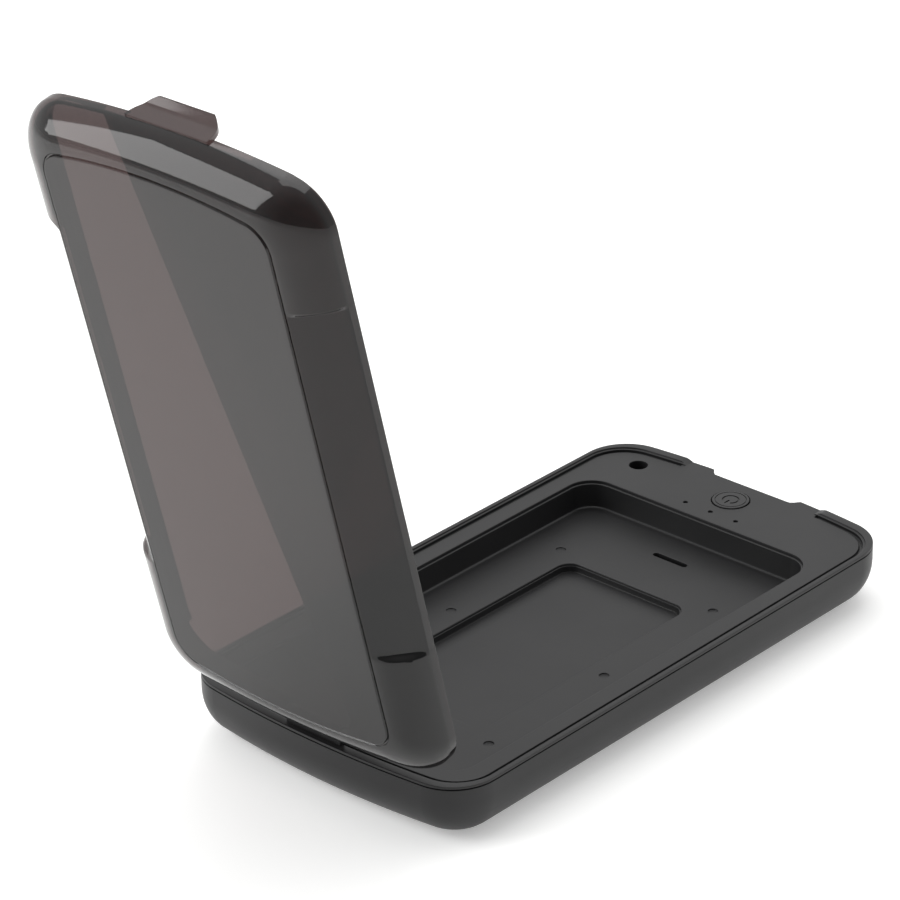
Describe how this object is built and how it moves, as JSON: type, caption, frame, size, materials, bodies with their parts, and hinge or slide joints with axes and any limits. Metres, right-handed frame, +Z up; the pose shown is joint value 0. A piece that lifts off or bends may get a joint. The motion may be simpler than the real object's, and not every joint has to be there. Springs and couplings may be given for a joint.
{
  "type": "demagnetizer",
  "caption": "Flat black demagnetizer case with a shallow work tray, round power button, indicator holes, a tool hole and a smoked hinged lid.",
  "frame": {"origin": "on the tub's flat underside, at the middle of the case; the rubber feet reach 0.8 mm below it", "axes": "+Z up out of the tray, -Y towards the power button and the lid's pull tab, +Y towards the hinge, X across the case"},
  "size_m": [0.12, 0.2808, 0.2447],
  "materials": {
    "black_plastic": "satin moulded black",
    "smoked_plastic": "clear smoked, polished",
    "button_plastic": "satin black",
    "rubber": "matt",
    "steel": "plain zinc-plated",
    "enamelled_copper": "enamelled winding wire",
    "board_green": "solder mask",
    "chip_black": "moulded epoxy",
    "former_nylon": "natural nylon",
    "clear_plastic": "clear",
    "led_white": "moulded lamp body",
    "capacitor_sleeve": "sleeved can",
    "ferrite": "sintered",
    "lead_red": "insulated wire"
  },
  "bodies": {
    "base": {"bottom_tub": "black_plastic", "top_cover": "black_plastic", "hinge_pin": "steel", "tact_switch": "chip_black", "light_guide": "clear_plastic", "control_board": "board_green", "power_socket": "steel", "choke": "ferrite", "power_transistor": "chip_black", "controller_chip": "chip_black", "coil_former": "former_nylon", "coil_winding": "enamelled_copper", "well_winding": "enamelled_copper", "status_led_1": "led_white", "status_led_2": "led_white", "status_led_3": "led_white", "storage_capacitor_1": "capacitor_sleeve", "coil_lead_1": "lead_red", "board_screw_1": "steel", "storage_capacitor_2": "capacitor_sleeve", "coil_lead_2": "lead_red", "board_screw_2": "steel", "case_screw_1": "steel", "case_screw_2": "steel", "case_screw_3": "steel", "case_screw_4": "steel", "case_screw_5": "steel", "case_screw_6": "steel", "foot_1": "rubber", "foot_2": "rubber", "foot_3": "rubber", "foot_4": "rubber"},
    "lid": {"lid": "smoked_plastic"},
    "button": {"power_button": "button_plastic"}
  },
  "joints": [
    {"name": "lid_hinge", "type": "hinge", "parent": "base", "child": "lid", "pos_m": [0, 0.1092, 0.0256], "axis": [1, 0, 0], "range_deg": [0, 103.6]},
    {"name": "power_button_press", "type": "slide", "parent": "base", "child": "button", "axis": [0, 0, -1], "range_m": [0, 0.0008], "stiffness_N_per_m": 1500}
  ]
}
